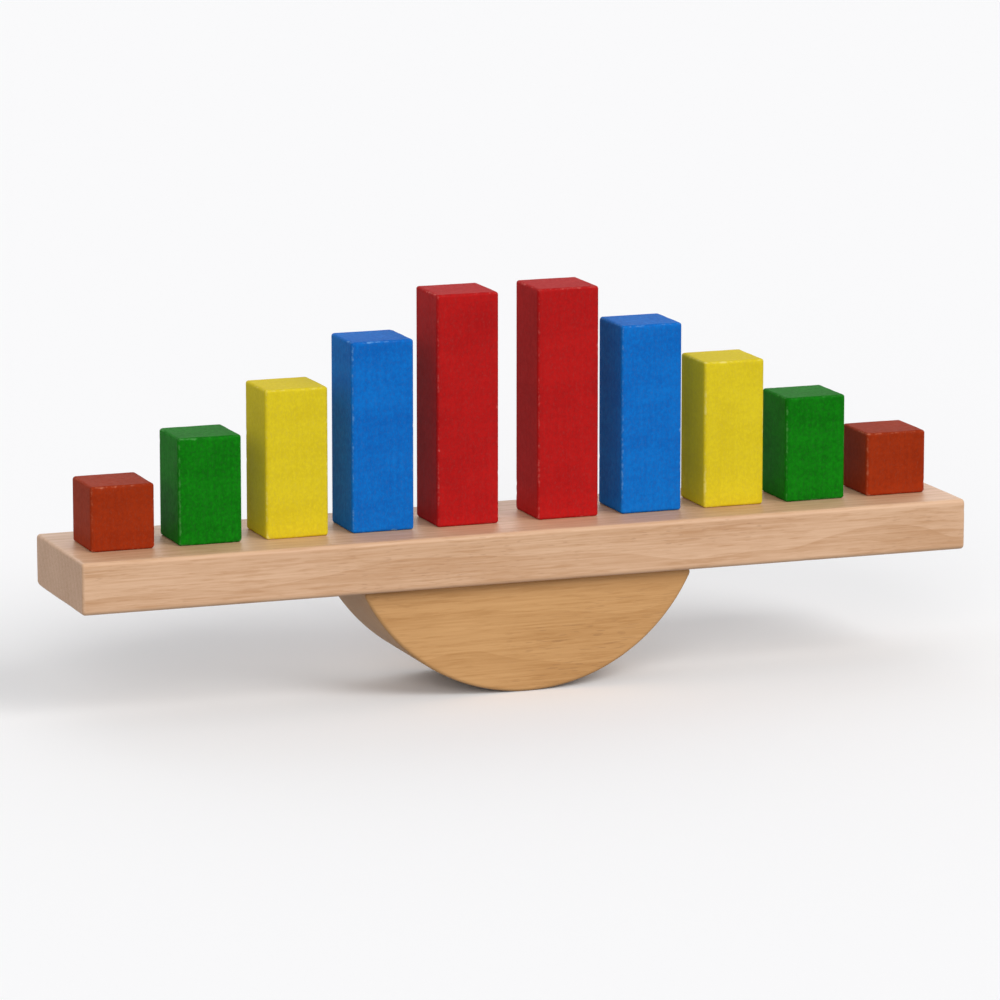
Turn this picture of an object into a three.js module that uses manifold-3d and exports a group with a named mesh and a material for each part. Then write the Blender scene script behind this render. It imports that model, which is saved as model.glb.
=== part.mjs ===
// Wooden balance game: a beech plank on a half-round rocker, with ten loose painted blocks
// standing on it in two mirrored rows that rise towards the middle.
// Millimetres. +X runs along the plank, +Y to the back, +Z up. The origin is on the table,
// under the middle of the rocker.
import * as THREE from 'three';
import { RoundedBoxGeometry } from 'three/addons/geometries/RoundedBoxGeometry.js';
import { mergeVertices, toCreasedNormals } from 'three/addons/utils/BufferGeometryUtils.js';
import Module from 'manifold-3d';

// Blocks
const BLOCK_SIDE = 25; // square section that all blocks share
const SHORTEST_BLOCK = 25; // the cube at each end of the row
const TALLEST_BLOCK = 90; // the two blocks beside the middle
const BLOCK_GAP = 9.5; // between neighbours on one arm
const MIDDLE_GAP = 16; // between the two tallest blocks, over the pivot
const BLOCK_EASING = 1.2; // radius of the sanded edges
const BLOCK_EASING_STEPS = 2;

// Plank
const PLANK_DEPTH = 62;
const PLANK_THICKNESS = 20;
const END_MARGIN = 9; // bare plank beyond each end block
const PLANK_EASING = 1.5;
const PLANK_EASING_STEPS = 3;

// Rocker
const ROCKER_RADIUS = 74;
const ROCKER_HEIGHT = 44; // from the table to the plank's underside
const ROCKER_SETBACK = 6; // from the plank's front and back faces
const ROCKER_EASING = 1.6;
const ROCKER_EASING_STEPS = 3;
const ROLLING_FACETS = 73; // where it rolls on the table; odd, so that one lies level in the middle
const FLANK_FACETS = 16; // on each side, up to the flat top

// Dowels that pin the rocker under the plank
const DOWEL_DIAMETER = 8;
const DOWEL_LENGTH = 30;
const DOWEL_INSET = 27; // from the end of the rocker's flat top to the dowel's axis
const DOWEL_COVER = 6; // wood left in the plank above the hole
const DOWEL_END_ROOM = 1; // room for glue at each end of a dowel
const DOWEL_FIT = 0.15; // radial clearance in its holes
const DOWEL_CHAMFER = 1;
const DOWEL_FLUTES = 12;
const FLUTE_DEPTH = 0.3;
const FLUTE_POINTS = 4; // outline points for each flute
const HOLE_SIDES = 48;

// One arm's blocks from the middle outwards, and the two woods
const ARM = [
  { name: 'red_block', colour: 0xac2725 },
  { name: 'blue_block', colour: 0x266ebc },
  { name: 'yellow_block', colour: 0xd4c32f },
  { name: 'green_block', colour: 0x1c7115 },
  { name: 'vermilion_cube', colour: 0x9a3217 },
];
const PLANK_COLOUR = 0xd4ad8b;
const ROCKER_COLOUR = 0xc49760;
const DOWEL_COLOUR = 0xd9bd94;
const PAINT_ROUGHNESS = 0.45;
const WOOD_ROUGHNESS = 0.55;
const CREASE_ANGLE = Math.PI / 6;

// What follows from the sizes above
const blockPitch = BLOCK_SIDE + BLOCK_GAP;
const blockStep = (TALLEST_BLOCK - SHORTEST_BLOCK) / (ARM.length - 1);
const armLength = ARM.length * blockPitch - BLOCK_GAP;
const plankLength = MIDDLE_GAP + 2 * armLength + 2 * END_MARGIN;
const deckHeight = ROCKER_HEIGHT + PLANK_THICKNESS;
const rockerDepth = PLANK_DEPTH - 2 * ROCKER_SETBACK;
const centreRise = ROCKER_RADIUS - ROCKER_HEIGHT; // of the rocker's centre over its flat top
const tiltLimit = // in radians, where an end of the plank meets the table
  Math.atan2(plankLength / 2, centreRise) -
  Math.acos(ROCKER_RADIUS / Math.hypot(plankLength / 2, centreRise));
const dowelInPlank = PLANK_THICKNESS - DOWEL_COVER - DOWEL_END_ROOM;
const dowelInRocker = DOWEL_LENGTH - dowelInPlank;

const wasm = await Module();
wasm.setup();

// A three.js geometry with its shared vertices merged, as a solid that can be cut.
function toSolid(geometry) {
  const bare = geometry.clone();
  bare.deleteAttribute('normal');
  bare.deleteAttribute('uv');
  const welded = mergeVertices(bare);
  const vertProperties = new Float32Array(welded.getAttribute('position').array);
  const triVerts = new Uint32Array(welded.getIndex().array);
  return new wasm.Manifold(new wasm.Mesh({ numProp: 3, vertProperties, triVerts }));
}

// A cut solid back as a three.js geometry.
function toGeometry(solid) {
  const { numProp, vertProperties, triVerts } = solid.getMesh();
  const geometry = new THREE.BufferGeometry();
  geometry.setAttribute('position', new THREE.Float32BufferAttribute(vertProperties, numProp));
  geometry.setIndex(Array.from(triVerts));
  return geometry;
}

function woodenPiece(name, geometry, colour, roughness) {
  const material = new THREE.MeshStandardMaterial({ color: colour, roughness, metalness: 0 });
  const piece = new THREE.Mesh(toCreasedNormals(geometry, CREASE_ANGLE), material);
  piece.name = name;
  return piece;
}

// Angles from straight down at which the rocker's facets meet: close together over the range that
// it rolls through, wide apart on the flanks. The right-hand end of the flat top isn't among them.
function facetAngles(topAngle) {
  const rollStep = (2 * tiltLimit) / ROLLING_FACETS;
  const flankStep = (topAngle - tiltLimit) / FLANK_FACETS;
  const run = (start, step, length) => Array.from({ length }, (_, i) => start + i * step);
  return [
    ...run(-topAngle, flankStep, FLANK_FACETS),
    ...run(-tiltLimit, rollStep, ROLLING_FACETS),
    ...run(tiltLimit, flankStep, FLANK_FACETS),
  ];
}

// The rocker's end outline, a circular segment with its flat side up. The facets' corners lie on
// the circle, and the circle sits where the lowest facet touches height 0.
function rockerOutline() {
  const centreHeight = ROCKER_RADIUS * Math.cos(tiltLimit / ROLLING_FACETS);
  const topAngle = Math.acos((centreHeight - ROCKER_HEIGHT) / ROCKER_RADIUS);
  const halfChord = ROCKER_RADIUS * Math.sin(topAngle);
  const points = facetAngles(topAngle).map(
    (angle) =>
      new THREE.Vector2(
        ROCKER_RADIUS * Math.sin(angle),
        centreHeight - ROCKER_RADIUS * Math.cos(angle),
      ),
  );
  points.push(new THREE.Vector2(halfChord, ROCKER_HEIGHT));
  return { shape: new THREE.Shape(points), halfChord };
}

const rocker = rockerOutline();
const dowelX = rocker.halfChord - DOWEL_INSET;
const dowelPlaces = [
  { name: 'dowel_left', x: -dowelX },
  { name: 'dowel_right', x: dowelX },
];

// The room of an upright drill hole between two heights, at one dowel's place.
function dowelHole(x, bottom, top) {
  const radius = DOWEL_DIAMETER / 2 + DOWEL_FIT;
  const drill = new THREE.CylinderGeometry(radius, radius, top - bottom, HOLE_SIDES);
  drill.rotateX(Math.PI / 2);
  drill.translate(x, 0, (bottom + top) / 2);
  return toSolid(drill);
}

// A piece with both dowel holes cut into it between two heights. One height lies outside the
// piece, beyond the glue line, so that the holes have clean mouths.
function drilled(solid, bottom, top) {
  return dowelPlaces.reduce((piece, place) => piece.subtract(dowelHole(place.x, bottom, top)), solid);
}

function makePlank() {
  const board = new RoundedBoxGeometry(
    plankLength,
    PLANK_DEPTH,
    PLANK_THICKNESS,
    PLANK_EASING_STEPS,
    PLANK_EASING,
  );
  board.translate(0, 0, ROCKER_HEIGHT + PLANK_THICKNESS / 2);
  const holeTop = ROCKER_HEIGHT + dowelInPlank + DOWEL_END_ROOM;
  const solid = drilled(toSolid(board), ROCKER_HEIGHT - DOWEL_END_ROOM, holeTop);
  return woodenPiece('plank', toGeometry(solid), PLANK_COLOUR, WOOD_ROUGHNESS);
}

function makeRocker() {
  const block = new THREE.ExtrudeGeometry(rocker.shape, {
    depth: rockerDepth - 2 * ROCKER_EASING,
    bevelThickness: ROCKER_EASING,
    bevelSize: ROCKER_EASING,
    bevelOffset: -ROCKER_EASING,
    bevelSegments: ROCKER_EASING_STEPS,
  });
  block.translate(0, 0, ROCKER_EASING - rockerDepth / 2);
  block.rotateX(Math.PI / 2);
  const holeBottom = ROCKER_HEIGHT - dowelInRocker - DOWEL_END_ROOM;
  const solid = drilled(toSolid(block), holeBottom, ROCKER_HEIGHT + DOWEL_END_ROOM);
  return woodenPiece('rocker', toGeometry(solid), ROCKER_COLOUR, WOOD_ROUGHNESS);
}

// A fluted dowel pin with chamfered ends. The outline's radius dips once for each flute.
function makeDowel({ name, x }) {
  const count = DOWEL_FLUTES * FLUTE_POINTS;
  const outline = Array.from({ length: count }, (_, i) => {
    const turn = (2 * Math.PI * i) / count;
    const dip = (FLUTE_DEPTH * (1 - Math.cos(DOWEL_FLUTES * turn))) / 2;
    const radius = DOWEL_DIAMETER / 2 - dip;
    return new THREE.Vector2(radius * Math.cos(turn), radius * Math.sin(turn));
  });
  const pin = new THREE.ExtrudeGeometry(new THREE.Shape(outline), {
    depth: DOWEL_LENGTH - 2 * DOWEL_CHAMFER,
    bevelThickness: DOWEL_CHAMFER,
    bevelSize: DOWEL_CHAMFER,
    bevelOffset: -DOWEL_CHAMFER,
    bevelSegments: 1,
  });
  const dowel = woodenPiece(name, pin, DOWEL_COLOUR, WOOD_ROUGHNESS);
  dowel.position.set(x, 0, ROCKER_HEIGHT - dowelInRocker + DOWEL_CHAMFER);
  return dowel;
}

// One arm of the row. Each block stands on the deck and is a step lower than the one inside it.
function makeArm(side, direction) {
  const arm = new THREE.Group();
  ARM.forEach(({ name, colour }, i) => {
    const height = TALLEST_BLOCK - i * blockStep;
    const shape = new RoundedBoxGeometry(
      BLOCK_SIDE,
      BLOCK_SIDE,
      height,
      BLOCK_EASING_STEPS,
      BLOCK_EASING,
    );
    const block = woodenPiece(`${name}_${side}`, shape, colour, PAINT_ROUGHNESS);
    const reach = MIDDLE_GAP / 2 + BLOCK_SIDE / 2 + i * blockPitch;
    block.position.set(direction * reach, 0, height / 2);
    arm.add(block);
  });
  return arm;
}

const beam = new THREE.Group();
beam.add(makePlank(), makeRocker(), ...dowelPlaces.map(makeDowel));

const row = new THREE.Group();
row.add(makeArm('left', -1), makeArm('right', 1));
row.position.z = deckHeight;

const game = new THREE.Group();
game.add(beam, row);

export default game;
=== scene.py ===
"""Looks of a wooden balance game: a beech plank on a half-round rocker, and ten painted blocks.

Every length is in metres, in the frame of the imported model: +X along the plank, +Y to the back, +Z up.
"""
import logging
import math
from abc import ABC, abstractmethod
from dataclasses import dataclass, field
from enum import Enum, IntEnum
from typing import Any, ClassVar

import bpy
import numpy as np
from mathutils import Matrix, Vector


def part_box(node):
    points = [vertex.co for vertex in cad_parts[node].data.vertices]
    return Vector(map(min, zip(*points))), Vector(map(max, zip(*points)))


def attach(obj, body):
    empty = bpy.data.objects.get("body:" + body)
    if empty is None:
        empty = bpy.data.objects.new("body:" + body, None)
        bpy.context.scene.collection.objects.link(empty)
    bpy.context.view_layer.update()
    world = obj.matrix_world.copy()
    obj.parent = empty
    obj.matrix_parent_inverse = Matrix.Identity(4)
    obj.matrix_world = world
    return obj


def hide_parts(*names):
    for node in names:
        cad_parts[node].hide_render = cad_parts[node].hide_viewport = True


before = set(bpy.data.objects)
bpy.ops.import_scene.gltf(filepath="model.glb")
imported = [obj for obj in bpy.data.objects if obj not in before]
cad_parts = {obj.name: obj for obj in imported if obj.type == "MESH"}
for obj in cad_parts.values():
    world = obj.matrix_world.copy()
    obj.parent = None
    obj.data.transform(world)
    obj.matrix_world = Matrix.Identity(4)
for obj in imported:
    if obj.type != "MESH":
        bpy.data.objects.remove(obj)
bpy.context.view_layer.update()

LOG = logging.getLogger("balance_game")
MM = 0.001

RGB = tuple[float, float, float]
Span = tuple[float, float]


class Side(Enum):
    """The two arms of the plank."""

    LEFT = "left"
    RIGHT = "right"


class Layer(Enum):
    """A value that a mesh carries at its vertices."""

    WEAR = "wear"
    END_GRAIN = "end_grain"


class Axis(IntEnum):
    """An axis of the frame, by its column in rows of (x, y, z)."""

    X = 0
    Y = 1
    Z = 2

    def placed(self, rows: np.ndarray) -> np.ndarray:
        """Turns rows of (p, q, along this axis) into rows of (x, y, z)."""
        return np.roll(rows, self + 1, axis=-1)


class MixSocket(IntEnum):
    """Places of the colour sockets on a Mix node."""

    FACTOR = 0
    FIRST = 6
    SECOND = 7
    RESULT = 2


# Shader graphs


class Wire:
    """One output socket, with Python's operators adding Math nodes to its graph."""

    NOISE_MIDDLE: ClassVar[float] = 0.5

    def __init__(self, graph: "ShaderGraph", socket: bpy.types.NodeSocket | None) -> None:
        """Keeps the graph and the socket."""
        self.graph = graph
        self.socket = socket

    def math(self, operation: str, *values: "Wire | float") -> "Wire":
        """Adds a Math node with these values in its sockets, in order."""
        return self.graph.node("ShaderNodeMath", {"operation": operation}, dict(enumerate(values)))

    def __add__(self, other: "Wire | float") -> "Wire":
        """self + other."""
        return self.math("ADD", self, other)

    __radd__ = __add__

    def __mul__(self, other: "Wire | float") -> "Wire":
        """self * other."""
        return self.math("MULTIPLY", self, other)

    __rmul__ = __mul__

    def __sub__(self, other: "Wire | float") -> "Wire":
        """self - other."""
        return self.math("SUBTRACT", self, other)

    def __rsub__(self, other: float) -> "Wire":
        """other - self."""
        return self.math("SUBTRACT", other, self)

    def __truediv__(self, other: "Wire | float") -> "Wire":
        """self / other."""
        return self.math("DIVIDE", self, other)

    def __rtruediv__(self, other: float) -> "Wire":
        """other / self."""
        return self.math("DIVIDE", other, self)

    def __pow__(self, other: "Wire | float") -> "Wire":
        """self to the power of other."""
        return self.math("POWER", self, other)

    def __rpow__(self, other: float) -> "Wire":
        """other to the power of self."""
        return self.math("POWER", other, self)

    def fract(self) -> "Wire":
        """The part after the decimal point."""
        return self.math("FRACT", self)

    def larger(self, other: "Wire | float") -> "Wire":
        """The larger of the two."""
        return self.math("MAXIMUM", self, other)

    def swing(self, size: float) -> "Wire":
        """Noise moved to lie around 0 and scaled by size."""
        return size * (self - self.NOISE_MIDDLE)

    def above(self, low: float, high: float) -> "Wire":
        """A smooth step that rises from 0 at low to 1 at high."""
        settings = {"interpolation_type": "SMOOTHSTEP"}
        return self.graph.node("ShaderNodeMapRange", settings, {0: self, 1: low, 2: high})

    def smooth(self) -> "Wire":
        """The value kept between 0 and 1, with soft ends."""
        return self.above(0.0, 1.0)


@dataclass(frozen=True)
class Noise:
    """A field of soft noise around 0.5.

    Attributes:
        scale: Features to the metre, before the squeeze.
        detail: Finer layers on top of the first.
        roughness: Strength of each finer layer against the one before it.
        squeeze: Factors on x, y and z; a small one draws the features out along its axis.
    """

    scale: float
    detail: float
    roughness: float = 0.5
    squeeze: RGB = (1.0, 1.0, 1.0)


class ShaderGraph:
    """A node tree that is filled from empty."""

    OPAQUE: ClassVar[float] = 1.0

    def __init__(self, tree: bpy.types.NodeTree) -> None:
        """Empties the tree."""
        self.tree = tree
        tree.nodes.clear()

    def node(
        self,
        kind: str,
        settings: dict[str, Any],
        inputs: dict[str | int, Any],
        output: str | int = 0,
    ) -> Wire:
        """Adds any node.

        Args:
            kind: The node's type.
            settings: Its properties, which are set first.
            inputs: A value or a Wire for each socket, by name or place.
            output: The name or place of the output that is wanted.

        Returns:
            That output, or a Wire without a socket for a node that has none.
        """
        made = self.tree.nodes.new(kind)
        for name, value in settings.items():
            setattr(made, name, value)
        for key, value in inputs.items():
            if isinstance(value, Wire):
                self.tree.links.new(value.socket, made.inputs[key])
            else:
                made.inputs[key].default_value = value
        return Wire(self, made.outputs[output] if len(made.outputs) else None)

    def position(self) -> Wire:
        """The point on the piece, in the object's own frame."""
        return self.node("ShaderNodeTexCoord", {}, {}, "Object")

    def attribute(self, layer: Layer) -> Wire:
        """A value that the mesh carries."""
        return self.node("ShaderNodeAttribute", {"attribute_name": layer.value}, {}, "Fac")

    def noise(self, place: Wire, noise: Noise) -> Wire:
        """Adds soft noise.

        Args:
            place: The point that it is read at.
            noise: Its kind.

        Returns:
            Its value there.
        """
        factors = {0: place, 1: noise.squeeze}
        squeezed = self.node("ShaderNodeVectorMath", {"operation": "MULTIPLY"}, factors)
        inputs = {
            "Vector": squeezed,
            "Scale": noise.scale,
            "Detail": noise.detail,
            "Roughness": noise.roughness,
        }
        return self.node("ShaderNodeTexNoise", {}, inputs)

    def mix(self, factor: Wire | float, first: Wire | RGB, second: Wire | RGB) -> Wire:
        """Blends two colours.

        Args:
            factor: 0 where the first colour shows, 1 where the second does.
            first: A colour, or a Wire that carries one.
            second: The same.

        Returns:
            The blend.
        """
        ends = [value if isinstance(value, Wire) else (*value, self.OPAQUE) for value in (first, second)]
        inputs = {MixSocket.FACTOR: factor, MixSocket.FIRST: ends[0], MixSocket.SECOND: ends[1]}
        return self.node("ShaderNodeMix", {"data_type": "RGBA"}, inputs, MixSocket.RESULT)

    def bump(self, height: Wire, distance: float, strength: float) -> Wire:
        """A normal that follows a height of 0 to 1, where 1 stands that distance proud."""
        inputs = {"Height": height, "Distance": distance, "Strength": strength}
        return self.node("ShaderNodeBump", {}, inputs)

    def principled(self, **sockets: Any) -> None:
        """Ends the graph in a Principled shader.

        Args:
            sockets: Values and Wires for its sockets, with underscores for the spaces in their names.
        """
        named = {key.replace("_", " "): value for key, value in sockets.items()}
        self.end("ShaderNodeOutputMaterial", self.node("ShaderNodeBsdfPrincipled", {}, named))

    def end(self, kind: str, shader: Wire) -> None:
        """Feeds a shader to an output node."""
        self.node(kind, {}, {"Surface": shader})


# Finishes


@dataclass(frozen=True)
class Finish(ABC):
    """A finish, with one material and one slot.

    Attributes:
        name: The material's name.
        slot: The name of its material slot.
    """

    name: str
    slot: str

    def material(self) -> bpy.types.Material:
        """Builds the material.

        Returns:
            The material, with its graph filled.
        """
        material = bpy.data.materials.new(self.name)
        material.use_nodes = True
        self.shade(ShaderGraph(material.node_tree))
        return material

    @abstractmethod
    def shade(self, graph: ShaderGraph) -> None:
        """Fills the graph; each kind of finish does it in its own way."""


@dataclass(frozen=True)
class BeechFigure:
    """How strongly each feature of the wood shows.

    Ripeness is 0 for the pale colour and 1 for the ripe one. An onset is the pair of noise levels between
    which a feature comes in.

    Attributes:
        ring_sway: Distance by which slow noise pushes the year rings about.
        ring_power: Power that keeps a ring's colour near its end.
        streak_onset: Onset of the dark streaks.
        fleck_onset: Onset of the ray flecks.
        patch_onset: Onset, in the clouds, of the patches that have flecks.
        pore_onset: Onset of the pores on end grain.
        plain: Ripeness of plain wood.
        season: Ripeness gained through a year ring.
        fibre: Swing of ripeness between long fibres.
        strand: Swing between short strands.
        cloud: Swing between broad clouds.
        streak: Ripeness gained in a streak.
        fleck: Cover of the flecks.
        sawn: Cover of the fleck colour on end grain.
        pore: Further cover in the pores there.
        rubbed: Cover of the pale colour on rubbed edges.
        fibre_relief: Share of the fibres in the relief.
        fleck_relief: Share of the flecks, which lie lower.
        pore_relief: Share of the pores, which lie lower.
        relief: Height of the relief.
        relief_strength: How much of it tilts the surface.
        fibre_roughness: Swing of roughness between fibres.
        fleck_roughness: Roughness gained in a fleck.
        specular: Level of the lacquer's reflection.
    """

    ring_sway: float = 12.0 * MM
    ring_power: float = 2.0
    streak_onset: Span = (0.5, 0.68)
    fleck_onset: Span = (0.65, 0.77)
    patch_onset: Span = (0.4, 0.6)
    pore_onset: Span = (0.6, 0.75)
    plain: float = 0.37
    season: float = 0.24
    fibre: float = 0.8
    strand: float = 0.55
    cloud: float = 0.8
    streak: float = 0.26
    fleck: float = 0.45
    sawn: float = 0.3
    pore: float = 0.3
    rubbed: float = 0.3
    fibre_relief: float = 0.6
    fleck_relief: float = 0.25
    pore_relief: float = 0.15
    relief: float = 0.12 * MM
    relief_strength: float = 0.5
    fibre_roughness: float = 0.16
    fleck_roughness: float = 0.08
    specular: float = 0.3


@dataclass(frozen=True)
class Beech(Finish):
    """Clear-lacquered beech, as a solid block of year rings with its grain along X.

    Attributes:
        pale: Colour of the early wood.
        ripe: Colour of the late wood at the end of each ring.
        fleck: Colour of the short ray flecks.
        pith: Where the tree's middle lies, as (y, z).
        ring: Width of a year ring.
        roughness: Roughness of the lacquer.
        figure: How strongly each feature shows.
    """

    pale: RGB
    ripe: RGB
    fleck: RGB
    pith: Span
    ring: float
    roughness: float
    figure: BeechFigure = BeechFigure()

    SWAY: ClassVar[Noise] = Noise(scale=22.0, detail=2.0, squeeze=(0.35, 1.0, 1.0))
    FIBRE: ClassVar[Noise] = Noise(scale=1300.0, detail=3.0, roughness=0.65, squeeze=(0.016, 1.0, 1.0))
    STRAND: ClassVar[Noise] = Noise(scale=1300.0, detail=2.0, roughness=0.6, squeeze=(0.055, 1.0, 1.0))
    STREAK: ClassVar[Noise] = Noise(scale=950.0, detail=3.0, roughness=0.6, squeeze=(0.07, 1.0, 1.0))
    CLOUD: ClassVar[Noise] = Noise(scale=36.0, detail=2.0, squeeze=(0.3, 1.0, 1.0))
    RAYS: ClassVar[Noise] = Noise(scale=2100.0, detail=0.0, squeeze=(0.1, 1.0, 1.0))
    PORES: ClassVar[Noise] = Noise(scale=2600.0, detail=1.0)

    def season(self, graph: ShaderGraph, place: Wire) -> Wire:
        """How far a point lies through its year ring, from 0 to 1.

        The distance from the pith, pushed about by slow noise along the grain and divided by a ring's
        width, counts the rings. The part after the decimal point, to a power, is the place in the ring.

        Args:
            graph: The graph.
            place: The point.

        Returns:
            The place in its ring.
        """
        sway = graph.noise(place, self.SWAY)
        across = graph.node("ShaderNodeSeparateXYZ", {}, {"Vector": place}, "Y") - self.pith[0]
        upward = graph.node("ShaderNodeSeparateXYZ", {}, {"Vector": place}, "Z") - self.pith[1]
        distance = (across * across + upward * upward) ** 0.5 + self.figure.ring_sway * sway
        return (distance / self.ring).fract() ** self.figure.ring_power

    def shade(self, graph: ShaderGraph) -> None:
        """Fills the graph.

        Colour deepens through each ring, and fibres, streaks and flecks are noise drawn out along X.
        Where the mesh says that a face cuts across the grain, it darkens and has pores, not flecks.

        Args:
            graph: The material's graph.
        """
        figure = self.figure
        place = graph.position()
        end = graph.attribute(Layer.END_GRAIN)
        wear = graph.attribute(Layer.WEAR)

        fibre = graph.noise(place, self.FIBRE)
        strand = graph.noise(place, self.STRAND)
        cloud = graph.noise(place, self.CLOUD)
        streaks = graph.noise(place, self.STREAK).above(*figure.streak_onset)
        rays = graph.noise(place, self.RAYS).above(*figure.fleck_onset)
        flecks = rays * cloud.above(*figure.patch_onset) * (1.0 - end)
        pores = graph.noise(place, self.PORES).above(*figure.pore_onset)

        rings = figure.plain + figure.season * self.season(graph, place)
        swings = fibre.swing(figure.fibre) + strand.swing(figure.strand) + cloud.swing(figure.cloud)
        ripeness = rings + swings + figure.streak * streaks
        timber = graph.mix(ripeness.smooth(), self.pale, self.ripe)
        flecked = graph.mix(figure.fleck * flecks, timber, self.fleck)
        sawn = graph.mix(end * (figure.sawn + figure.pore * pores), flecked, self.fleck)
        rubbed = graph.mix(figure.rubbed * wear, sawn, self.pale)

        sunken_flecks = figure.fleck_relief * (1.0 - flecks)
        sunken_pores = figure.pore_relief * (1.0 - pores * end)
        relief = figure.fibre_relief * fibre + sunken_flecks + sunken_pores
        dullness = fibre.swing(figure.fibre_roughness) + figure.fleck_roughness * flecks
        graph.principled(
            Base_Color=rubbed,
            Roughness=self.roughness + dullness,
            Specular_IOR_Level=figure.specular,
            Normal=graph.bump(relief, figure.relief, figure.relief_strength),
        )


@dataclass(frozen=True)
class PaintFigure:
    """How strongly each feature of the paint shows.

    Depth is 0 for the paint's colour and 1 for its deep one. An onset is the pair of levels between which
    a feature comes in.

    Attributes:
        plain: Depth of plain paint.
        mottle: Swing of depth between small blotches.
        wipe: Swing between level wiping marks.
        cloud: Swing between broad clouds.
        grain: Swing along the wood's grain.
        speckle: Swing between fine speckles.
        end: Depth gained on end grain.
        dust_onset: Onset, in the speckles, of pale dust.
        dust: Cover of the dust.
        chip_share: Share of small chips in the pale edge mask, which is worn paint and painted highlight.
        patch_share: Share of wider patches in it.
        edge: How much the wear of an edge feeds that mask.
        patchiness: How much the chips and patches break that up.
        rub_and_highlight_onset: Onset, in their sum, of the pale edge: worn paint and painted highlight.
        rub_and_highlight: Cover of the pale edge colour.
        grain_relief: Share of the grain in the relief.
        fibre_relief: Share of the fibres in it.
        mottle_relief: Share of the blotches in it.
        relief: Height of the relief.
        relief_strength: How much of it tilts the surface.
        roughness: Roughness of plain paint.
        mottle_roughness: Swing of roughness between blotches.
        bare_roughness: Roughness gained where the paint is rubbed off at the edges.
        end_roughness: Roughness gained on end grain.
        specular: Level of the paint's reflection.
    """

    plain: float = 0.5
    mottle: float = 1.4
    wipe: float = 0.9
    cloud: float = 0.6
    grain: float = 0.5
    speckle: float = 1.4
    end: float = 0.15
    dust_onset: Span = (0.46, 0.8)
    dust: float = 0.1
    chip_share: float = 0.6
    patch_share: float = 0.4
    edge: float = 0.55
    patchiness: float = 1.5
    rub_and_highlight_onset: Span = (0.44, 0.9)
    rub_and_highlight: float = 0.7
    grain_relief: float = 0.45
    fibre_relief: float = 0.25
    mottle_relief: float = 0.3
    relief: float = 0.14 * MM
    relief_strength: float = 0.55
    roughness: float = 0.52
    mottle_roughness: float = 0.2
    bare_roughness: float = 0.14
    end_roughness: float = 0.06
    specular: float = 0.02


@dataclass(frozen=True)
class Paint(Finish):
    """Satin paint on wood, thin enough to show the grain and pale along the edges.

    The pale edges are partly paint rubbed thin and partly a painted highlight.

    Attributes:
        colour: The paint where it covers well.
        deep: The paint where it lies thick or soaked in.
        rubbed: Pale edge colour, partly worn-thin paint and partly painted highlight; also the dust's
            colour.
        figure: How strongly each feature shows.
    """

    colour: RGB
    deep: RGB
    rubbed: RGB
    figure: PaintFigure = PaintFigure()

    GRAIN: ClassVar[Noise] = Noise(scale=620.0, detail=3.0, roughness=0.6, squeeze=(1.0, 1.0, 0.05))
    FIBRE: ClassVar[Noise] = Noise(scale=2400.0, detail=1.0, squeeze=(1.0, 1.0, 0.1))
    MOTTLE: ClassVar[Noise] = Noise(scale=560.0, detail=5.0, roughness=0.7)
    SPECKLE: ClassVar[Noise] = Noise(scale=1500.0, detail=2.0, roughness=0.6, squeeze=(1.0, 1.0, 0.55))
    WIPE: ClassVar[Noise] = Noise(scale=110.0, detail=3.0, roughness=0.55, squeeze=(0.3, 0.3, 1.0))
    CLOUD: ClassVar[Noise] = Noise(scale=34.0, detail=2.0)
    CHIPS: ClassVar[Noise] = Noise(scale=700.0, detail=2.0)
    PATCHES: ClassVar[Noise] = Noise(scale=70.0, detail=1.0)

    def edge_rub_and_highlight(self, graph: ShaderGraph, place: Wire) -> Wire:
        """The pale edges, partly paint rubbed off and partly a painted highlight.

        It is the mesh's wear, broken up by noise, past an onset.

        Args:
            graph: The graph.
            place: The point.

        Returns:
            0 for sound paint, 1 for a fully pale edge.
        """
        figure = self.figure
        chips = figure.chip_share * graph.noise(place, self.CHIPS)
        patches = figure.patch_share * graph.noise(place, self.PATCHES)
        rubbing = figure.edge * graph.attribute(Layer.WEAR) + (chips + patches).swing(figure.patchiness)
        return rubbing.above(*figure.rub_and_highlight_onset)

    def shade(self, graph: ShaderGraph) -> None:
        """Fills the graph; grain and fibres are noise drawn out along Z, and wiping marks lie level.

        Args:
            graph: The material's graph.
        """
        figure = self.figure
        place = graph.position()
        end = graph.attribute(Layer.END_GRAIN)
        rub_and_highlight = self.edge_rub_and_highlight(graph, place)

        grain = graph.noise(place, self.GRAIN)
        fibre = graph.noise(place, self.FIBRE)
        mottle = graph.noise(place, self.MOTTLE)
        speckle = graph.noise(place, self.SPECKLE)
        wipe = graph.noise(place, self.WIPE)
        cloud = graph.noise(place, self.CLOUD)

        blotches = mottle.swing(figure.mottle) + wipe.swing(figure.wipe) + cloud.swing(figure.cloud)
        threads = grain.swing(figure.grain) + speckle.swing(figure.speckle)
        depth = figure.plain + blotches + threads + figure.end * end
        coat = graph.mix(depth.smooth(), self.colour, self.deep)
        dusty = graph.mix(figure.dust * speckle.above(*figure.dust_onset), coat, self.rubbed)
        # Pale edges: partly paint worn thin, partly a painted highlight along every edge.
        painted = graph.mix(figure.rub_and_highlight * rub_and_highlight, dusty, self.rubbed)

        streaks = figure.grain_relief * grain + figure.fibre_relief * fibre
        relief = streaks + figure.mottle_relief * mottle
        dullness = mottle.swing(figure.mottle_roughness) + figure.bare_roughness * rub_and_highlight
        graph.principled(
            Base_Color=painted,
            Roughness=figure.roughness + dullness + figure.end_roughness * end,
            Specular_IOR_Level=figure.specular,
            Normal=graph.bump(relief, figure.relief, figure.relief_strength),
        )


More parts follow.
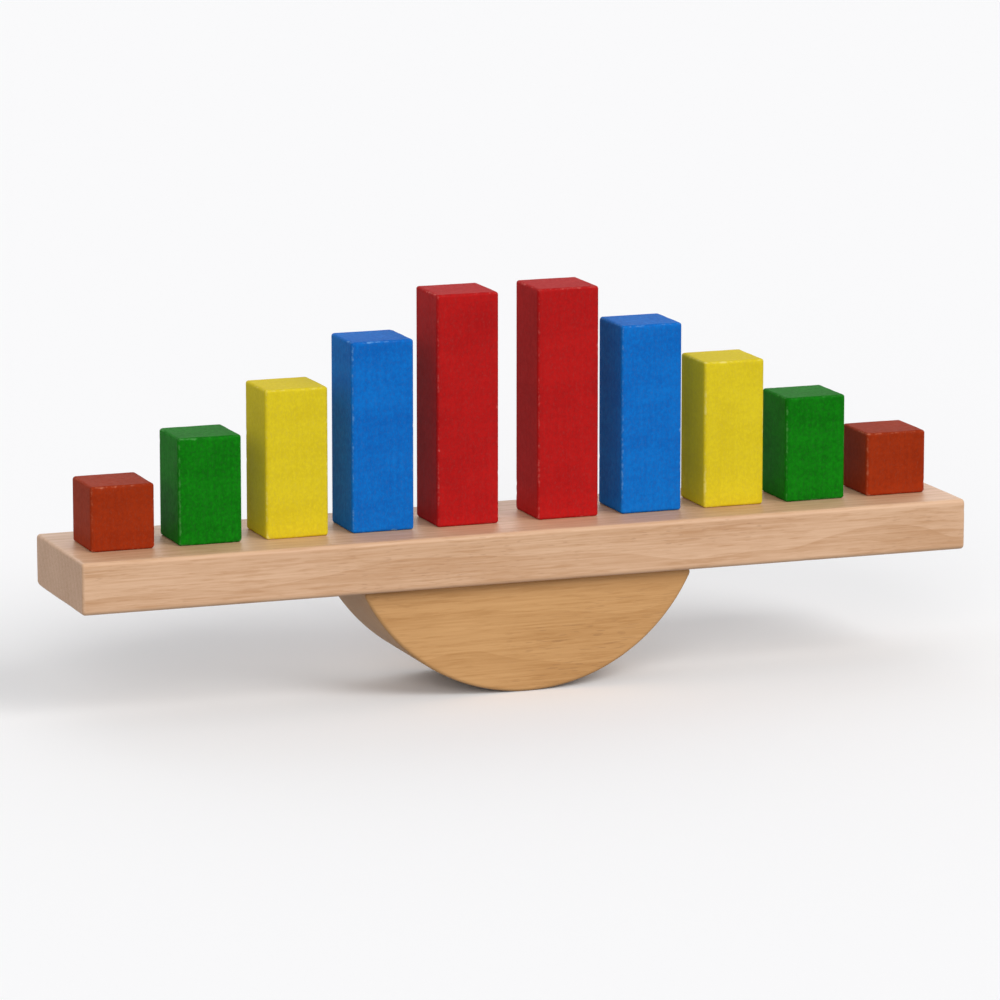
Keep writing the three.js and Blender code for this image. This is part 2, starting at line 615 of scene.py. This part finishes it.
PLANK_BEECH = Beech(
    name="lacquered_plank_beech",
    slot="plank_beech",
    pale=(0.71, 0.46, 0.295),
    ripe=(0.51, 0.283, 0.148),
    fleck=(0.4, 0.215, 0.115),
    pith=(85.0 * MM, 18.0 * MM),
    ring=4.2 * MM,
    roughness=0.46,
)
ROCKER_BEECH = Beech(
    name="lacquered_rocker_beech",
    slot="rocker_beech",
    pale=(0.61, 0.338, 0.138),
    ripe=(0.46, 0.232, 0.08),
    fleck=(0.33, 0.165, 0.065),
    pith=(110.0 * MM, -30.0 * MM),
    ring=4.8 * MM,
    roughness=0.48,
)
DOWEL_BEECH = Beech(
    name="raw_dowel_beech",
    slot="dowel_beech",
    pale=(0.72, 0.53, 0.33),
    ripe=(0.6, 0.42, 0.24),
    fleck=(0.46, 0.3, 0.16),
    pith=(30.0 * MM, 0.0),
    ring=3.0 * MM,
    roughness=0.7,
)
RED = Paint(
    name="red_block_paint",
    slot="red_paint",
    colour=(0.47, 0.0115, 0.0112),
    deep=(0.35, 0.008, 0.0088),
    rubbed=(0.62, 0.14, 0.12),
)
BLUE = Paint(
    name="blue_block_paint",
    slot="blue_paint",
    colour=(0.006, 0.165, 0.57),
    deep=(0.004, 0.105, 0.43),
    rubbed=(0.14, 0.33, 0.62),
)
YELLOW = Paint(
    name="yellow_block_paint",
    slot="yellow_paint",
    colour=(0.7, 0.56, 0.019),
    deep=(0.6, 0.46, 0.013),
    rubbed=(0.78, 0.68, 0.2),
)
GREEN = Paint(
    name="green_block_paint",
    slot="green_paint",
    colour=(0.007, 0.21, 0.006),
    deep=(0.003, 0.115, 0.003),
    rubbed=(0.09, 0.3, 0.08),
)
VERMILION = Paint(
    name="vermilion_cube_paint",
    slot="vermilion_paint",
    colour=(0.335, 0.032, 0.0064),
    deep=(0.246, 0.0216, 0.0043),
    rubbed=(0.56, 0.18, 0.1),
)


# Surfaces


def spokes(turn: np.ndarray) -> np.ndarray:
    """Unit vectors (cos t, sin t)."""
    return np.stack([np.cos(turn), np.sin(turn)], -1)


@dataclass(frozen=True)
class Outline:
    """A closed convex outline, run anticlockwise in its plane (p, q).

    Attributes:
        points: The points, as rows of (p, q).
        normals: The outward normal at each point.
        corner: 0 on the long runs, rising to 1 in the middle of a rounded corner.
    """

    points: np.ndarray
    normals: np.ndarray
    corner: np.ndarray

    CORNERS: ClassVar[int] = 4
    CORNER_POINTS: ClassVar[int] = 9

    @classmethod
    def rectangle(cls, low: Span, high: Span, radius: float, run_points: int) -> "Outline":
        """A rectangle with round corners.

        Each corner is a quarter circle, centre + radius * (cos t, sin t), and a straight run joins it to
        the next.

        Args:
            low: The lowest p and q.
            high: The highest p and q.
            radius: Radius of the corners.
            run_points: Points inside each straight run.

        Returns:
            The outline.
        """
        least, most = np.array(low), np.array(high)
        signs = np.array([[1, 1], [-1, 1], [-1, -1], [1, -1]], float)
        centres = (least + most) / 2 + signs * ((most - least) / 2 - radius)
        start = np.arange(cls.CORNERS)[:, None] * math.pi / 2
        turn = start + np.linspace(0.0, math.pi / 2, cls.CORNER_POINTS)
        arc_normals = spokes(turn)
        arcs = centres[:, None, :] + radius * arc_normals
        share = np.linspace(0.0, 1.0, run_points + 2)[1:-1, None]
        run_starts = arcs[:, -1:, :]
        run_ends = np.roll(arcs[:, :1, :], -1, axis=0)
        runs = run_starts + share * (run_ends - run_starts)
        run_normals = np.broadcast_to(arc_normals[:, -1:, :], runs.shape)
        bulge = np.broadcast_to(np.sin(np.linspace(0.0, math.pi, cls.CORNER_POINTS)), turn.shape)
        flat = np.zeros(runs.shape[:2])
        return cls(
            np.concatenate([arcs, runs], 1).reshape(-1, 2),
            np.concatenate([arc_normals, run_normals], 1).reshape(-1, 2),
            np.concatenate([bulge, flat], 1).reshape(-1),
        )

    @classmethod
    def half_round(cls, radius: float, height: float, corner: float, run_points: int) -> "Outline":
        """A circular segment, flat side up, with its two upper corners rounded, in the plane (z, x).

        The corner circle touches the big circle from inside and the flat side from below, so its centre
        lies radius - corner from the big centre and corner under the flat side.

        Args:
            radius: Radius of the round side.
            height: From its lowest point to the flat side.
            corner: Radius of the corners.
            run_points: Points along the round side and along the flat side.

        Returns:
            The outline, with its lowest point at z = 0.
        """
        corner_z = height - corner
        corner_x = math.sqrt((radius - corner) ** 2 - (radius - corner_z) ** 2)
        tangent = math.atan2(corner_x, corner_z - radius)
        right_spokes = spokes(np.linspace(0.0, tangent, cls.CORNER_POINTS))
        left_spokes = spokes(np.linspace(math.tau - tangent, math.tau, cls.CORNER_POINTS))
        round_spokes = spokes(np.linspace(tangent, math.tau - tangent, run_points)[1:-1])
        top_spokes = spokes(np.zeros(run_points))

        right = np.array([corner_z, corner_x]) + corner * right_spokes
        left = np.array([corner_z, -corner_x]) + corner * left_spokes
        lower = np.array([radius, 0.0]) + radius * round_spokes
        share = np.linspace(0.0, 1.0, run_points + 2)[1:-1, None]
        top = left[-1] + share * (right[0] - left[-1])
        bulge = np.sin(np.linspace(0.0, math.pi, cls.CORNER_POINTS))
        return cls(
            np.concatenate([right, lower, left, top]),
            np.concatenate([right_spokes, round_spokes, left_spokes, top_spokes]),
            np.concatenate([bulge, np.zeros(len(lower)), bulge, np.zeros(len(top))]),
        )


@dataclass(frozen=True)
class Skin:
    """A grid of rings on a solid, with rows of (p, q, along).

    Attributes:
        points: Points, as (rings, around, 3).
        normals: Outward normals of the same shape.
        wear: 0 on flats, rising to 1 in the middle of an edge, as (rings, around).
    """

    points: np.ndarray
    normals: np.ndarray
    wear: np.ndarray

    def reversed(self) -> "Skin":
        """The same rings in the other order."""
        return Skin(self.points[::-1], self.normals[::-1], self.wear[::-1])

    @staticmethod
    def joined(*skins: "Skin") -> "Skin":
        """Joins several runs of rings.

        Args:
            skins: The runs, in order.

        Returns:
            All their rings as one run.
        """
        return Skin(
            np.concatenate([skin.points for skin in skins]),
            np.concatenate([skin.normals for skin in skins]),
            np.concatenate([skin.wear for skin in skins]),
        )


@dataclass
class EasedSolid:
    """A solid with one outline along its length and hand-sanded edges at both ends.

    Attributes:
        outline: The section.
        low: Where the solid starts along its axis.
        high: Where it ends.
        axis: The axis that the outline is carried along.
        grain: The axis that the wood's grain follows.
        easing: Mean radius of the sanded end edges.
        rings: Rings along the length between the eased ends.
        nicks: How many small dents there are along the edges.
        seed: Start of the random draws.
        easing_rings: Rings on each rounded end edge.
        cap_rings: Rings on the flat of each end.
        cap_margin: Room between the outermost of these and the rounding, in rings.
        unevenness: Share by which the sanding varies round an end.
        wave_orders: Fewest waves round an end, and the number that they stay under.
        wave_strengths: Range of their random strengths.
        nick_depths: Range of the dents' depths.
        nick_reaches: Range of their reaches.
        edge_wear: Wear above which a point lies on an edge.
        most_wear: Wear that no dent adds beyond.
    """

    outline: Outline
    low: float
    high: float
    axis: Axis
    grain: Axis
    easing: float
    rings: int
    nicks: int
    seed: int
    easing_rings: int = 7
    cap_rings: int = 9
    cap_margin: float = 0.2
    unevenness: float = 0.16
    wave_orders: tuple[int, int] = (2, 12)
    wave_strengths: Span = (0.4, 1.0)
    nick_depths: Span = (0.084 * MM, 0.24 * MM)
    nick_reaches: Span = (0.45 * MM, 0.9 * MM)
    edge_wear: float = 0.8
    most_wear: float = 1.5
    draws: np.random.Generator = field(init=False)

    def __post_init__(self) -> None:
        """Starts the random draws."""
        self.draws = np.random.default_rng(self.seed)

    def wave(self) -> np.ndarray:
        """A slow closed wave along the outline, between -1 and 1.

        It is a sum of sines of whole turns, each weaker by the square root of its order, over the largest
        size that the sum has.

        Returns:
            The wave at each point of the outline.
        """
        points = self.outline.points
        steps = np.linalg.norm(np.roll(points, -1, axis=0) - points, axis=1)
        turn = math.tau * (np.cumsum(steps) - steps) / steps.sum()
        order = np.arange(*self.wave_orders)[:, None]
        phase = self.draws.uniform(0.0, math.tau, order.shape)
        strength = self.draws.uniform(*self.wave_strengths, order.shape) / np.sqrt(order)
        wave = (strength * np.sin(order * turn + phase)).sum(0)
        return wave / np.abs(wave).max()

    def rounding(self, outward: float, edge: float) -> Skin:
        """The sanded edge round one end.

        It is a quarter circle whose radius r varies round the outline: at the angle t it is inset by
        r * (1 - sin t) and lies r * (1 - cos t) from the end.

        Args:
            outward: -1 for the low end, 1 for the high end.
            edge: Where that end lies along the axis.

        Returns:
            Its rings, from the flat to the straight sides.
        """
        normals = self.outline.normals
        radius = self.easing * (1.0 + self.unevenness * self.wave())
        turn = np.linspace(0.0, math.pi / 2, self.easing_rings)[:, None]
        inset = radius * (1.0 - np.sin(turn))
        along = edge - outward * radius * (1.0 - np.cos(turn))
        section = self.outline.points - inset[..., None] * normals
        side_part = np.sin(turn)[..., None] * normals
        end_part = np.broadcast_to(outward * np.cos(turn)[..., None], (*inset.shape, 1))
        wear = 1.0 - (1.0 - np.sin(2 * turn)) * (1.0 - self.outline.corner)
        return Skin(np.dstack([section, along]), np.dstack([side_part, end_part]), wear)

    def end(self, outward: float, edge: float) -> Skin:
        """One end: a flat inside a rounding.

        The flat is the rim of the rounding drawn in towards the middle, to the square roots of even
        shares, so that its rings hold like areas.

        Args:
            outward: -1 for the low end, 1 for the high end.
            edge: Where that end lies along the axis.

        Returns:
            Its rings, from near the middle to where the straight sides start.
        """
        rounding = self.rounding(outward, edge)
        middle = np.append(self.outline.points.mean(0), edge)
        share = np.arange(1, self.cap_rings + 1) / (self.cap_rings + self.cap_margin)
        points = middle + np.sqrt(share)[:, None, None] * (rounding.points[0] - middle)
        normals = np.broadcast_to(np.array([0.0, 0.0, outward]), points.shape)
        flat = Skin(points, normals, np.zeros(points.shape[:2]))
        return Skin.joined(flat, rounding)

    def skin(self) -> Skin:
        """The whole solid.

        Its straight sides are even steps from the low end's last ring to the high end's.

        Returns:
            All rings, from near the middle of the low end to near the middle of the high end.
        """
        low = self.end(-1.0, self.low)
        high = self.end(1.0, self.high).reversed()
        share = np.linspace(0.0, 1.0, self.rings + 2)[1:-1, None, None]
        points = low.points[-1] + share * (high.points[0] - low.points[-1])
        normals = np.broadcast_to(low.normals[-1], points.shape)
        sides = Skin(points, normals, np.broadcast_to(self.outline.corner, points.shape[:2]))
        return self.nicked(Skin.joined(low, sides, high))

    def nicked(self, skin: Skin) -> Skin:
        """Presses small dents into the edges.

        A dent is depth * exp(-(distance / reach) ** 2) deep, along the normal.

        Args:
            skin: The rings of the sound solid, whose wear says where its edges are.

        Returns:
            The dented rings, with each dent added to their wear.
        """
        points, wear = skin.points, skin.wear
        edges = points[wear > self.edge_wear]
        centres = edges[self.draws.choice(len(edges), self.nicks, replace=False)]
        depths = self.draws.uniform(*self.nick_depths, self.nicks)
        reaches = self.draws.uniform(*self.nick_reaches, self.nicks)
        for centre, depth, reach in zip(centres, depths, reaches):
            dent = np.exp(-((points - centre) ** 2).sum(-1) / reach**2)
            points = points - (depth * dent)[..., None] * skin.normals
            wear = wear + dent
        return Skin(points, skin.normals, np.clip(wear, 0.0, self.most_wear))

    @staticmethod
    def faces(rings: int, around: int) -> list[list[int]]:
        """Quads between neighbouring rings, and a fan of triangles to the middle of each end.

        Args:
            rings: How many rings there are.
            around: How many points each has; the two middles come after all of these.

        Returns:
            The faces, as places in the list of vertices.
        """
        here = np.arange(around)
        after = np.roll(here, -1)
        ring = np.arange(rings - 1)[:, None] * around
        next_ring = ring + around
        last = (rings - 1) * around
        low_middle = np.full(around, rings * around)
        high_middle = low_middle + 1
        quads = np.stack([ring + here, ring + after, next_ring + after, next_ring + here], -1)
        low_fan = np.stack([low_middle, after, here], -1)
        high_fan = np.stack([high_middle, last + here, last + after], -1)
        return quads.reshape(-1, 4).tolist() + low_fan.tolist() + high_fan.tolist()

    def build(self, name: str) -> bpy.types.Object:
        """Makes the mesh object, with its wear and its end grain at the vertices.

        End grain is the square of how far the normal turns to the grain's axis.

        Args:
            name: The object's name.

        Returns:
            The object, at the origin with its place in its mesh.
        """
        skin = self.skin()
        middles = skin.points[[0, -1]].mean(1)
        vertices = self.axis.placed(np.concatenate([skin.points.reshape(-1, 3), middles]))
        mesh = bpy.data.meshes.new(name)
        mesh.from_pydata(vertices.tolist(), [], self.faces(*skin.wear.shape))
        mesh.polygons.foreach_set("use_smooth", np.ones(len(mesh.polygons), bool))

        normals = np.concatenate([skin.normals.reshape(-1, 3), skin.normals[[0, -1], 0]])
        layers = {
            Layer.WEAR: np.append(skin.wear, np.zeros(len(middles))),
            Layer.END_GRAIN: self.axis.placed(normals)[:, self.grain] ** 2,
        }
        for layer, values in layers.items():
            attribute = mesh.attributes.new(layer.value, "FLOAT", "POINT")
            attribute.data.foreach_set("value", values.astype(np.float32))
        mesh.update()
        piece = bpy.data.objects.new(name, mesh)
        bpy.context.scene.collection.objects.link(piece)
        return piece


# Sub-assemblies


class SubAssembly:
    """What the beam and the row of blocks have in common."""

    @staticmethod
    def dress(piece: bpy.types.Object, finish: Finish, material: bpy.types.Material) -> None:
        """Gives a piece its material.

        Args:
            piece: The piece.
            finish: Its finish; not used.
            material: The material of that finish.
        """
        piece.data.materials.clear()
        piece.data.materials.append(material)

    @staticmethod
    def seat(piece: bpy.types.Object, body: str, node: str) -> None:
        """Lets a piece ride on a body in place of a node."""
        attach(piece, body)
        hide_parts(node)


@dataclass
class Beam(SubAssembly):
    """The plank with the rocker under it; two hidden dowels pin them together.

    Attributes:
        body: The body that all of it rides on.
        plank_corner: Radius of the plank's long edges.
        plank_easing: Mean radius of the edges round its ends.
        plank_points: Points inside each straight run of its section.
        plank_rings: Rings along it.
        plank_nicks: Dents in its edges.
        plank_seed: Start of its random draws.
        rocker_corner: Radius of the rocker's two upper corners.
        rocker_easing: Mean radius of the edges round its front and back faces.
        rocker_points: Points along its round side and along its flat side.
        rocker_rings: Rings from its front to its back.
        rocker_nicks: Dents in its edges.
        rocker_seed: Start of its random draws.
        dowels: The nodes of the dowels, which keep their own solids.
    """

    body: str = "beam"
    plank_corner: float = 1.8 * MM
    plank_easing: float = 1.2 * MM
    plank_points: int = 24
    plank_rings: int = 260
    plank_nicks: int = 14
    plank_seed: int = 11
    rocker_corner: float = 2.0 * MM
    rocker_easing: float = 1.5 * MM
    rocker_points: int = 150
    rocker_rings: int = 40
    rocker_nicks: int = 8
    rocker_seed: int = 23
    dowels: tuple[str, ...] = ("dowel_left", "dowel_right")

    def plank(self) -> bpy.types.Object:
        """The plank, its section carried along X.

        Returns:
            The plank.
        """
        low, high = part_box("plank")
        least, most = (low.y, low.z), (high.y, high.z)
        solid = EasedSolid(
            outline=Outline.rectangle(least, most, self.plank_corner, self.plank_points),
            low=low.x,
            high=high.x,
            axis=Axis.X,
            grain=Axis.X,
            easing=self.plank_easing,
            rings=self.plank_rings,
            nicks=self.plank_nicks,
            seed=self.plank_seed,
        )
        return solid.build("beech_plank")

    def rocker(self) -> bpy.types.Object:
        """The rocker, its half-round outline carried along Y.

        The radius of a circular segment is (half chord squared + height squared) / (2 * height).

        Returns:
            The rocker.
        """
        low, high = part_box("rocker")
        height = high.z - low.z
        half_chord = (high.x - low.x) / 2
        radius = (half_chord**2 + height**2) / (2 * height)
        solid = EasedSolid(
            outline=Outline.half_round(radius, height, self.rocker_corner, self.rocker_points),
            low=low.y,
            high=high.y,
            axis=Axis.Y,
            grain=Axis.X,
            easing=self.rocker_easing,
            rings=self.rocker_rings,
            nicks=self.rocker_nicks,
            seed=self.rocker_seed,
        )
        return solid.build("beech_rocker")

    def build(self) -> list[bpy.types.Object]:
        """Makes and dresses the plank, the rocker and the dowels.

        Returns:
            The four pieces.
        """
        boards = (("plank", self.plank(), PLANK_BEECH), ("rocker", self.rocker(), ROCKER_BEECH))
        for node, board, finish in boards:
            self.dress(board, finish, finish.material())
            self.seat(board, self.body, node)
        pins = [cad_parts[node] for node in self.dowels]
        raw = DOWEL_BEECH.material()
        for pin in pins:
            self.dress(pin, DOWEL_BEECH, raw)
        return [board for _, board, _ in boards] + pins


@dataclass
class BlockRow(SubAssembly):
    """The painted blocks on both arms, named from the middle outwards.

    Attributes:
        kinds: The name and the paint of each kind of block.
        corner: Radius of the upright edges.
        easing: Mean radius of the edges round the top and the foot.
        run_points: Points inside each straight run of the section.
        spacing: Distance between rings up the sides.
        nicks: Dents in each block's edges.
        first_seed: Start of the first block's random draws.
        kind_seeds: From the first seed of one kind to that of the next.
    """

    kinds: tuple[tuple[str, Paint], ...] = (
        ("red_block", RED),
        ("blue_block", BLUE),
        ("yellow_block", YELLOW),
        ("green_block", GREEN),
        ("vermilion_cube", VERMILION),
    )
    corner: float = 1.4 * MM
    easing: float = 1.1 * MM
    run_points: int = 30
    spacing: float = 0.8 * MM
    nicks: int = 9
    first_seed: int = 100
    kind_seeds: int = 10

    def block(self, node: str, seed: int) -> bpy.types.Object:
        """One block, its square section carried up along Z.

        Args:
            node: The node that it stands for.
            seed: Start of its random draws.

        Returns:
            The block.
        """
        low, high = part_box(node)
        least, most = (low.x, low.y), (high.x, high.y)
        solid = EasedSolid(
            outline=Outline.rectangle(least, most, self.corner, self.run_points),
            low=low.z,
            high=high.z,
            axis=Axis.Z,
            grain=Axis.Z,
            easing=self.easing,
            rings=round((high.z - low.z) / self.spacing),
            nicks=self.nicks,
            seed=seed,
        )
        return solid.build(f"painted_{node}")

    def build(self) -> list[bpy.types.Object]:
        """Makes and dresses every block, each on its own body.

        Returns:
            The blocks.
        """
        blocks = []
        for kind, (name, paint) in enumerate(self.kinds):
            material = paint.material()
            for arm, side in enumerate(Side):
                node = f"{name}_{side.value}"
                block = self.block(node, self.first_seed + self.kind_seeds * kind + arm)
                self.dress(block, paint, material)
                self.seat(block, node, node)
                blocks.append(block)
        return blocks


@dataclass(frozen=True)
class Lamp:
    """A far, soft lamp.

    Attributes:
        name: Its name.
        direction: From the object towards it.
        strength: Light that falls on a face turned to it, in watts per square metre.
        softness: Angle in degrees that it fills.
    """

    name: str
    direction: RGB
    strength: float
    softness: float

    def build(self) -> None:
        """Hangs the lamp."""
        light = bpy.data.lights.new(self.name, "SUN")
        light.energy = self.strength
        light.angle = math.radians(self.softness)
        lamp = bpy.data.objects.new(self.name, light)
        lamp.rotation_euler = Vector(self.direction).to_track_quat("Z", "Y").to_euler()
        bpy.context.scene.collection.objects.link(lamp)


@dataclass
class Studio:
    """A pale floor, soft light and the camera.

    Attributes:
        azimuth: Degrees that the camera stands round from the front, to the right.
        elevation: Degrees that it looks down.
        distance: From the camera to its target.
        target: The point in the middle of the picture.
        lens: Focal length in millimetres.
        sensor: Width of the sensor in millimetres.
        sight: How far the camera sees.
        floor_half: Half the width of the floor.
        floor_white: The floor as the camera sees it.
        floor_bounce: The floor as other light meets it.
        lamps: The main lamp, a weaker one for the blocks' left sides and one that opens up the back.
        sky: Light from all round.
        backdrop: The sky as the camera sees it.
    """

    azimuth: float = -20.4
    elevation: float = 11.1
    distance: float = 2.316
    target: RGB = (-0.003, 0.0, 0.0705)
    lens: float = 216.0
    sensor: float = 36.0
    sight: float = 120.0
    floor_half: float = 30.0
    floor_white: RGB = (0.94, 0.94, 0.94)
    floor_bounce: RGB = (0.3, 0.3, 0.3)
    lamps: tuple[Lamp, ...] = (
        Lamp("key", direction=(0.42, -0.68, 0.6), strength=1.35, softness=32.0),
        Lamp("left", direction=(-0.4, -0.85, 0.36), strength=1.2, softness=30.0),
        Lamp("fill", direction=(0.3, 0.85, 0.43), strength=0.8, softness=70.0),
    )
    sky: RGB = (0.51, 0.51, 0.52)
    backdrop: RGB = (0.95, 0.95, 0.95)

    def seen(self, graph: ShaderGraph) -> Wire:
        """Tells what is looked at from what only lights other things.

        Args:
            graph: The graph.

        Returns:
            1 for a ray from the camera or by way of a mirror or glass, 0 for light that bounces.
        """
        outputs = ("Is Camera Ray", "Is Glossy Ray", "Is Transmission Ray")
        camera, glossy, clear = (graph.node("ShaderNodeLightPath", {}, {}, output) for output in outputs)
        return camera.larger(glossy).larger(clear)

    def floor(self) -> None:
        """A flat floor at height 0, clear from below so that the underside can be looked at."""
        half = self.floor_half
        corners = [(-half, -half, 0.0), (half, -half, 0.0), (half, half, 0.0), (-half, half, 0.0)]
        mesh = bpy.data.meshes.new("floor")
        mesh.from_pydata(corners, [], [(0, 1, 2, 3)])
        floor = bpy.data.objects.new("floor", mesh)
        bpy.context.scene.collection.objects.link(floor)
        material = bpy.data.materials.new("pale_floor")
        material.use_nodes = True
        graph = ShaderGraph(material.node_tree)
        colour = graph.mix(self.seen(graph), self.floor_bounce, self.floor_white)
        matt = graph.node("ShaderNodeBsdfDiffuse", {}, {"Color": colour})
        clear = graph.node("ShaderNodeBsdfTransparent", {}, {})
        below = graph.node("ShaderNodeNewGeometry", {}, {}, "Backfacing")
        sheet = graph.node("ShaderNodeMixShader", {}, {0: below, 1: matt, 2: clear})
        graph.end("ShaderNodeOutputMaterial", sheet)
        mesh.materials.append(material)

    def light(self) -> None:
        """The lamps, and a sky that is pale where the camera sees it."""
        for lamp in self.lamps:
            lamp.build()
        world = bpy.data.worlds.new("soft_sky")
        world.use_nodes = True
        graph = ShaderGraph(world.node_tree)
        colour = graph.mix(self.seen(graph), self.sky, self.backdrop)
        graph.end("ShaderNodeOutputWorld", graph.node("ShaderNodeBackground", {}, {"Color": colour}))
        bpy.context.scene.world = world

    def camera(self) -> None:
        """The camera, turned to its target."""
        around, down = math.radians(self.azimuth), math.radians(self.elevation)
        level = math.cos(down)
        back = Vector((math.sin(around) * level, -math.cos(around) * level, math.sin(down)))
        lens = bpy.data.cameras.new("camera")
        lens.sensor_fit = "HORIZONTAL"
        lens.sensor_width = self.sensor
        lens.lens = self.lens
        lens.clip_end = self.sight
        camera = bpy.data.objects.new("camera", lens)
        camera.location = Vector(self.target) + self.distance * back
        camera.rotation_euler = back.to_track_quat("Z", "Y").to_euler()
        bpy.context.scene.collection.objects.link(camera)
        bpy.context.scene.camera = camera

    def build(self) -> None:
        """Sets the stage."""
        self.camera()
        self.floor()
        self.light()
        bpy.context.scene.view_settings.view_transform = "Standard"


def main() -> None:
    """Builds the stage and the toy, and reports each piece."""
    logging.basicConfig(level=logging.INFO, format="%(name)s: %(message)s")
    Studio().build()
    for assembly in (Beam(), BlockRow()):
        for piece in assembly.build():
            finish = piece.data.materials[0].name
            LOG.info("%s: %d faces, %s", piece.name, len(piece.data.polygons), finish)


if __name__ == "__main__":
    main()
